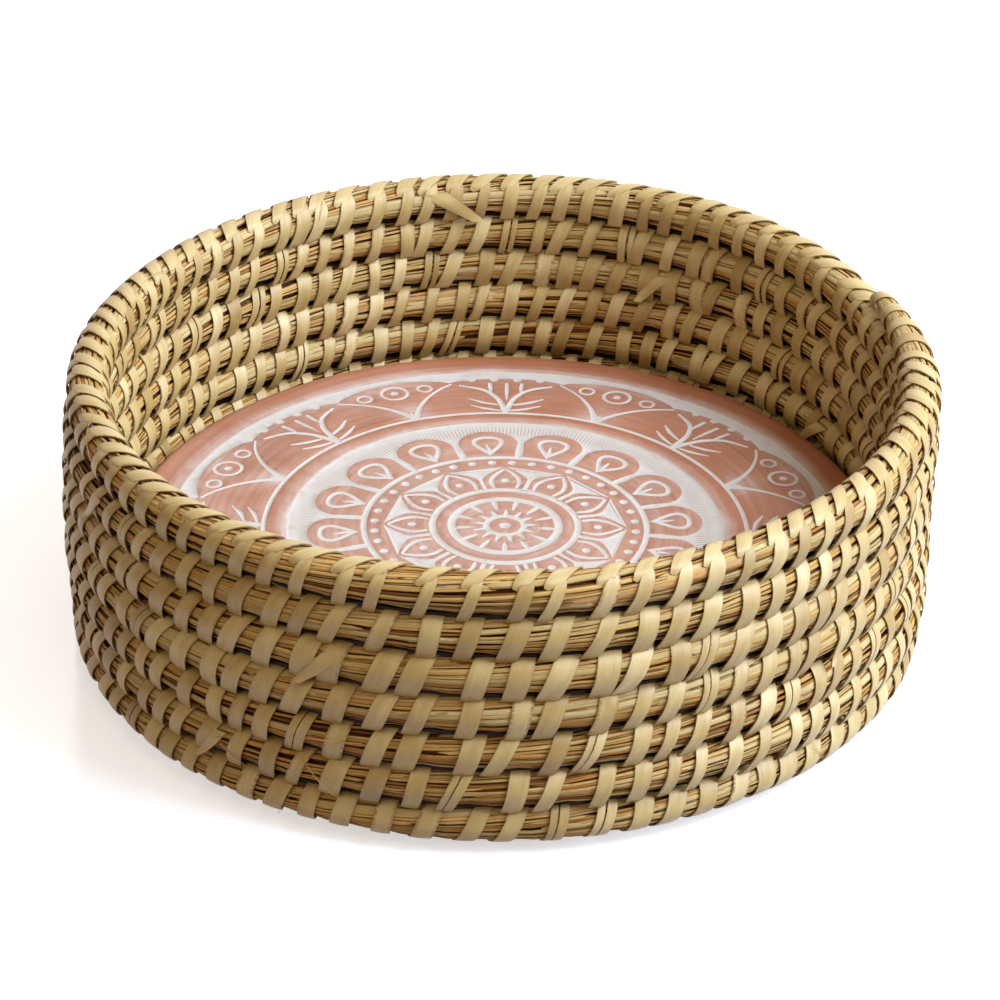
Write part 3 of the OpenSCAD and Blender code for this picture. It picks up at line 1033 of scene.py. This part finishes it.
def carve_round_petals(c):
    """Round petals with a drop in each, in a field of slip, and a fine ring outside it."""
    edges = []
    deeps = []
    arch = np.radians(np.linspace(-4, 184, 40))
    vein = smooth_line([(0.0, 43.6), (0.1, 46), (-0.5, 49.6)])
    for i in range(ROUND_PETALS):
        a = 360 / ROUND_PETALS * i - 6
        for grown, store in ((0, edges), (BEVEL, deeps)):
            head = np.stack([(8.9 + grown) * np.cos(arch), 50 + (7.7 + grown) * np.sin(arch)], axis=-1)
            foot = [(-7.6 - grown, 44.5), (-7.1 - grown, 40.9), (7.1 + grown, 40.9), (7.6 + grown, 44.5)]
            store.append(placed(np.concatenate([head, foot]), a))
        c.area(placed(drop(4.9, 42.3, 54.6), a), placed(drop(4.9 - BEVEL, 42.9, 54.6 - BEVEL), a),
               [placed(drop(3.45, 44.9, 53.2), a)], [placed(drop(3.45 + BEVEL, 44.1, 53.2 + BEVEL), a)])
        c.stroke(placed(vein, a), [1.5, 1.3, 0.6])
    c.area(circle(63.6), circle(63.6 - BEVEL), [circle(41.4)] + edges, [circle(41.4)] + deeps)
    c.ring(*FINE_RING)


def carve_sprigs(c):
    """The outer band: sprigs under arches, with rings between the arches and beads along the top."""
    arch = polar(np.array([70.7, 74, 78.4, 82.4, 85.8, 88.7, 90.9]),
                 np.array([22.3, 21.2, 19.3, 17.2, 15.0, 12.8, 10.7]))
    # A sprig's half: its stem, the arch beside it and three leaves, each with its widths
    strokes = [([(0, 70.8), (1.3, 76.3), (3.0, 81), (7.0, 85.8), (14.2, 88.5)], [2.0, 1.6, 1.4, 0.9]),
               (arch, [2.2, 1.3, 1.0, 0.8]),
               ([(5.0, 90.4), (4.7, 87), (4.6, 83.6)], [1.2, 1.3, 0.6]),
               ([(2.4, 75.9), (7, 77.3), (11.4, 79.8)], [0.9, 1.4, 0.6]),
               ([(1.6, 72.1), (6, 73.1), (10.6, 75.2)], [0.9, 1.3, 0.6])]
    middle_leaf = [(0.3, 90.5 - 11 * s) for s in np.linspace(0, 1, 10)]
    wedge = np.array([(0.5, 70.5), (1.5, 73.4), (0.0, 75.4), (-1.5, 73.4), (-0.5, 70.5)])
    for i in range(SPRIGS):
        a = 360 / SPRIGS * i
        between = a + 180 / SPRIGS
        for side in (-1, 1):
            for points, widths in strokes:
                c.stroke(placed(smooth_line(points) * (side, 1), a), widths)
            c.ring(1.65, 2.6, polar(89.5, between + 6.3 * side), 0.45)
        c.stroke(placed(middle_leaf, a), [1.1, 1.3, 0.5])
        c.ring(3.5, 4.6, polar(89.1, between), 0.6)
        c.dot(1.25, polar(89.1, between))
        c.area(placed(wedge, between), placed(wedge * (0.7, 1), between))
        for bead in (-10.9, -6.5, -2.2, 2.2, 6.5, 10.9):
            c.dot(1.25, polar(93.0, a + bead))


def carve_edge(c):
    """The ring of slip round the outer band: its inner line bows out over each sprig and over the rings."""
    angle = np.arange(0, 360, 1.0)
    fold = np.mod(angle + 11.25, 45) - 11.25
    over_sprig = np.clip(np.cos(np.radians(fold / 11.0 * 90)), 0, 1)
    over_rings = np.clip(np.cos(np.radians((fold - 22.5) / 11.6 * 90)), 0, 1)
    line = 91.6 + 2.2 * over_sprig ** 0.6 + 4.0 * over_rings ** 0.7
    c.area(circle(98.4, step=1.7), circle(98.4 - 2 * BEVEL, step=1.7),
           [polar(line, angle)], [polar(line + BEVEL, angle)])


# How much slip is left on the clay, by radius
HAZE = [(0, 0.42), (17, 0.40), (22, 0.36), (36, 0.34), (42, 0.34), (57, 0.32), (60, 0.5), (63.4, 0.95),
        (65.5, 0.5), (67.5, 0.16), (69.5, 0.12), (72, 0.20), (88, 0.24), (93, 0.40), (97, 0.6), (98.6, 0.95),
        (100.5, 0.55), (102.5, 0.2), (106, 0.08), (112, 0.05)]
HAZE_BACK = 0.08
HAZE_RIGHT = 0.10
SIDE_HAZE = 0.03


def slip_haze(x, y):
    """How much slip is left on the clay: more at the front and left, and in the corners between arches."""
    right, back = off_middle(x, y)
    lean = HAZE_BACK * y / FACE_R + HAZE_RIGHT * x / FACE_R
    x, y = x - right, y - back
    r = np.hypot(x, y)
    degrees = np.mod(np.degrees(np.arctan2(x, y)), 45) - 22.5
    corner = 0.6 * np.exp(-(degrees / 4.5) ** 2) * np.clip((84 - r) / 12, 0, 1) * (r > 71)
    return np.clip(np.interp(r, *zip(*HAZE)) + corner - lean, 0, 1)


# The face and the side are a little uneven: how far, over which length or how often, and the seed
UNEVEN_X = (0.12, 17, 5)
UNEVEN_Y = (0.12, 21, 6)
UNEVEN_SIDE = (0.25, 3, 8)
TILE_SHARP_EDGE = 40


def tile_side():
    """The line down the tile's side and in under it, by radius and by height above its foot."""
    bend = np.radians(np.linspace(0, 90, 9))
    low_r = TILE_R - BOTTOM_EDGE
    top = [(FACE_R + TOP_EDGE * math.sin(b), TILE_T - TOP_EDGE + TOP_EDGE * math.cos(b)) for b in bend[1:]]
    foot = [(low_r + BOTTOM_EDGE * math.cos(b), BOTTOM_EDGE - BOTTOM_EDGE * math.sin(b)) for b in bend]
    return top + foot + [(low_r * s, 0) for s in (0.8, 0.5, 0.2)]


def build_tile(clay, slip_mat):
    """The carved face, with rings of faces down its side and a cap underneath."""
    carving = Carving()
    carve_hub(carving)
    carve_pointed_petals(carving)
    carve_beads(carving)
    carve_round_petals(carving)
    carve_sprigs(carving)
    carve_edge(carving)
    verts, faces, slip, low = carving.cut()
    uneven = 0
    for along, (far, over, seed) in zip(verts.T, (UNEVEN_X, UNEVEN_Y)):
        uneven = uneven + far * wave(along / over, seed)
    points = [np.column_stack([verts, TILE_Z + TILE_T + uneven - CARVE_DEPTH * low])]
    used = np.unique(faces)
    on_rim = used[np.hypot(*verts[used].T) > FACE_R - 0.01]
    angle = np.arctan2(verts[on_rim, 1], verts[on_rim, 0])
    last = on_rim[np.argsort(angle)]
    angle = np.sort(angle)
    far, often, seed = UNEVEN_SIDE
    quads = []
    count = len(verts)
    for r, h in tile_side():
        ring_r = r + far * wave(angle * often, seed) * min(1, r / TILE_R) ** 6
        height = np.full(len(angle), TILE_Z + h)
        points.append(np.column_stack([ring_r * np.cos(angle), ring_r * np.sin(angle), height]))
        now = np.arange(count, count + len(angle))
        count += len(angle)
        quads.append(np.stack([last, now, np.roll(now, -1), np.roll(last, -1)], axis=-1))
        last = now
    points.append([[0, 0, TILE_Z]])
    cap = np.stack([last, np.full(len(last), count), np.roll(last, -1)], axis=-1)
    points = np.concatenate(points)
    every = faces.tolist() + np.concatenate(quads).tolist() + cap.tolist()
    mesh = bpy.data.meshes.new("tile_carved")
    mesh.from_pydata((points * MM).tolist(), [], every)
    mesh.materials.append(clay)
    mesh.materials.append(slip_mat)
    on_top = points[:, 2] > TILE_Z + TILE_T - 2 * TOP_EDGE
    haze = np.where(on_top, slip_haze(points[:, 0], points[:, 1]), SIDE_HAZE)
    mesh.attributes.new("haze", "FLOAT", "POINT").data.foreach_set("value", haze.astype(np.float32))
    index = np.zeros(len(every), np.int32)
    index[:len(faces)] = slip
    mesh.polygons.foreach_set("material_index", index)
    mesh.polygons.foreach_set("use_smooth", np.ones(len(every), bool))
    mesh.set_sharp_from_angle(angle=math.radians(TILE_SHARP_EDGE))
    mesh.validate()
    return show("tile_carved", mesh)


# The middle of the figures, as it lies for the field round the petals
FIELD_OFF = (1.6, 2.4)
CLAY_TINTS = [(0.3, (0.35, 0.130, 0.062)), (0.5, (0.40, 0.155, 0.076)), (0.7, (0.44, 0.186, 0.104))]
CLAY_STREAKS = [(0.3, (0.80, 0.74, 0.68)), (0.6, 1)]
WIPED_RATE = 420.0
DUST = (0.66, 0.625, 0.605)
SLIP_TONES = [(0.26, (0.49, 0.405, 0.36)), (0.40, (0.56, 0.535, 0.515)), (0.60, (0.59, 0.578, 0.562))]
SCRATCHES = 330.0
SCRATCH_TONE = (0.40, 0.30, 0.26)
SCRATCH_UNIT = 0.1
SCRATCH_FIELD = [(0.553, 0), (0.57, 1), (0.60, 0.7), (0.62, 0)]


def round_the_tile(look):
    """A place on the tile, its distance from the middle of the figures, and its way from there."""
    spot = look.node("TexCoord", {}).outputs["Object"]
    to_middle = (-FIELD_OFF[0] * MM, -FIELD_OFF[1] * MM, 0)
    onto_face = {0: spot, 1: (1, 1, 0), 2: to_middle}
    flat = look.node("VectorMath", onto_face, operation="MULTIPLY_ADD").outputs[0]
    reach = look.node("VectorMath", {0: flat}, operation="LENGTH").outputs["Value"]
    return spot, reach, look.node("SeparateXYZ", {0: flat}).outputs


def clay_material():
    """Terracotta with streaks left by wiping round the tile, and a dust of slip."""
    look = Look("clay", roughness=0.72, specular=0.28)
    spot, reach, parts = round_the_tile(look)
    heading = [look.math("DIVIDE", parts[i], reach) for i in (0, 1)]
    wiped = look.noise(look.combine(*heading, look.times(reach, WIPED_RATE)),
                       scale=1.6, detail=5, roughness=0.6)
    base = look.ramp(look.noise(spot, scale=28, detail=6), CLAY_TINTS, "clay tints")
    shaded = look.mix("MULTIPLY", 0.6, base, look.ramp(wiped, CLAY_STREAKS, "wiped streaks"))
    cloud = look.noise(spot, scale=75, detail=9, roughness=0.68)
    clouds = look.ramp(cloud, [(0.32, 0.45), (0.68, 1.15)], "dust clouds")
    smears = look.ramp(wiped, [(0.35, 0.6), (0.65, 1.15)], "dust smears")
    dust = look.times(look.times(look.attribute("haze"), clouds), smears)
    dusted = look.mix("MIX", dust, shaded, DUST)
    return look.finish(dusted, look.noise(spot, scale=900, detail=3), strength=0.25, distance=0.0002)


def slip_material():
    """White slip, worn, with fine scratches that point to the middle in the field outside the petals."""
    look = Look("slip", roughness=0.85, specular=0.2)
    spot, reach, parts = round_the_tile(look)
    worn = look.noise(spot, scale=140, detail=8, roughness=0.6)
    tone = look.ramp(worn, SLIP_TONES, "slip tones")
    turn = look.math("ARCTAN2", parts[1], parts[0])
    comb = look.math("SINE", look.times(turn, SCRATCHES), 0.0)
    teeth = look.ramp(look.times(comb, worn), [(0.22, 0), (0.42, 1)], "teeth")
    field = look.ramp(look.math("DIVIDE", reach, SCRATCH_UNIT), SCRATCH_FIELD, "field")
    toned = look.mix("MIX", look.times(teeth, field), tone, SCRATCH_TONE)
    return look.finish(toned, worn, strength=0.3, distance=0.0002)


carved = build_tile(clay_material(), slip_material())
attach(carved, "tile")
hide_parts("tile")

# The camera, as fitted to the photograph: angles, and lengths in millimetres
VIEW_EL = math.radians(30.304)
VIEW_ROLL = math.radians(0.447)
VIEW_DISTANCE = 1224.3
VIEW_TARGET = Vector((0, 0, 38.4))
VIEW_LENS = 150.8
VIEW_SENSOR = 36
VIEW_SHIFT = (0.00008, 0.0053)
VIEW_CLIP = (0.05, 20)

camera = show("camera", bpy.data.cameras.new("camera"))
aim = Matrix.Rotation(math.pi / 2 - VIEW_EL, 4, "X") @ Matrix.Rotation(VIEW_ROLL, 4, "Z")
away = Matrix.Translation((0, 0, VIEW_DISTANCE * MM))
camera.matrix_world = Matrix.Translation(VIEW_TARGET * MM) @ aim @ away
camera.data.lens = VIEW_LENS
camera.data.sensor_width = VIEW_SENSOR
camera.data.shift_x, camera.data.shift_y = VIEW_SHIFT
camera.data.clip_start, camera.data.clip_end = VIEW_CLIP
camera.data.dof.use_dof = False
bpy.context.scene.camera = camera

# The studio, in metres
FLOOR_HALF = 4
FLOOR_COLOUR = (0.79, 0.84, 0.96)
FLOOR_GLOW = 0.55
BACKDROP_Y = 1.8
BACKDROP_TALL = 3
BACKDROP_COLOUR = 0.8
BACKDROP_GLOW = 1.0
WORLD_COLOUR = (1.0, 0.60, 0.27)
WORLD_STRENGTH = 0.24


def sheet(name, corners, look):
    """A flat sheet of one face."""
    mesh = bpy.data.meshes.new(name)
    mesh.from_pydata(corners, [], [(0, 1, 2, 3)])
    mesh.materials.append(look.material)
    return show(name, mesh)


# The floor glows a little, like a lit studio table, but throws none of that up at the basket
pale = Look("pale_floor", roughness=0.16, specular=1.0)
pale.glow(FLOOR_COLOUR, FLOOR_GLOW)
h = FLOOR_HALF
floor = sheet("floor", [(-h, -h, 0), (h, -h, 0), (h, h, 0), (-h, h, 0)], pale)
floor.visible_diffuse = False

# A white backdrop that shows only in what the table and the strips reflect
white = Look("white_backdrop", roughness=0.5, specular=0.5)
white.glow(BACKDROP_COLOUR, BACKDROP_GLOW)
y, z = BACKDROP_Y, BACKDROP_TALL
backdrop = sheet("backdrop", [(-h, y, 0), (h, y, 0), (h, y, z), (-h, y, z)], white)
backdrop.visible_camera = False
backdrop.visible_diffuse = False
backdrop.visible_shadow = False


def softbox(name, where, aim, size, watts, colour=(1, 1, 1)):
    """A soft light at a place, aimed at another."""
    light = bpy.data.lights.new(name, "AREA")
    light.shape = "RECTANGLE"
    light.size, light.size_y = size
    light.energy = watts
    light.color = colour
    lamp = show(name, light)
    lamp.location = where
    lamp.rotation_mode = "QUATERNION"
    lamp.rotation_quaternion = (Vector(aim) - Vector(where)).to_track_quat("-Z", "Y")


softbox("key", (0.92, -0.22, 1.15), (0, 0, 0.03), (0.9, 0.9), 34.2, (0.828, 0.892, 1.0))
softbox("side", (1.25, -0.45, 0.4), (0.1, 0, 0.04), (0.7, 0.5), 11, (0.68, 0.81, 1.0))
softbox("back", (0.45, 1.0, 0.85), (0, 0, 0.05), (1.0, 0.6), 3)
softbox("fill", (-0.9, -0.8, 0.7), (0, 0, 0.03), (1.0, 1.0), 2.4, (1.0, 0.88, 0.65))
softbox("front", (0.25, -0.85, 1.35), (0, 0, 0.03), (0.8, 0.6), 4.6, (1.0, 0.92, 0.80))
world = bpy.data.worlds.new("studio")
world.use_nodes = True
world.node_tree.nodes["Background"].inputs["Color"].default_value = opaque(WORLD_COLOUR)
world.node_tree.nodes["Background"].inputs["Strength"].default_value = WORLD_STRENGTH
bpy.context.scene.world = world
bpy.context.scene.view_settings.view_transform = "Standard"
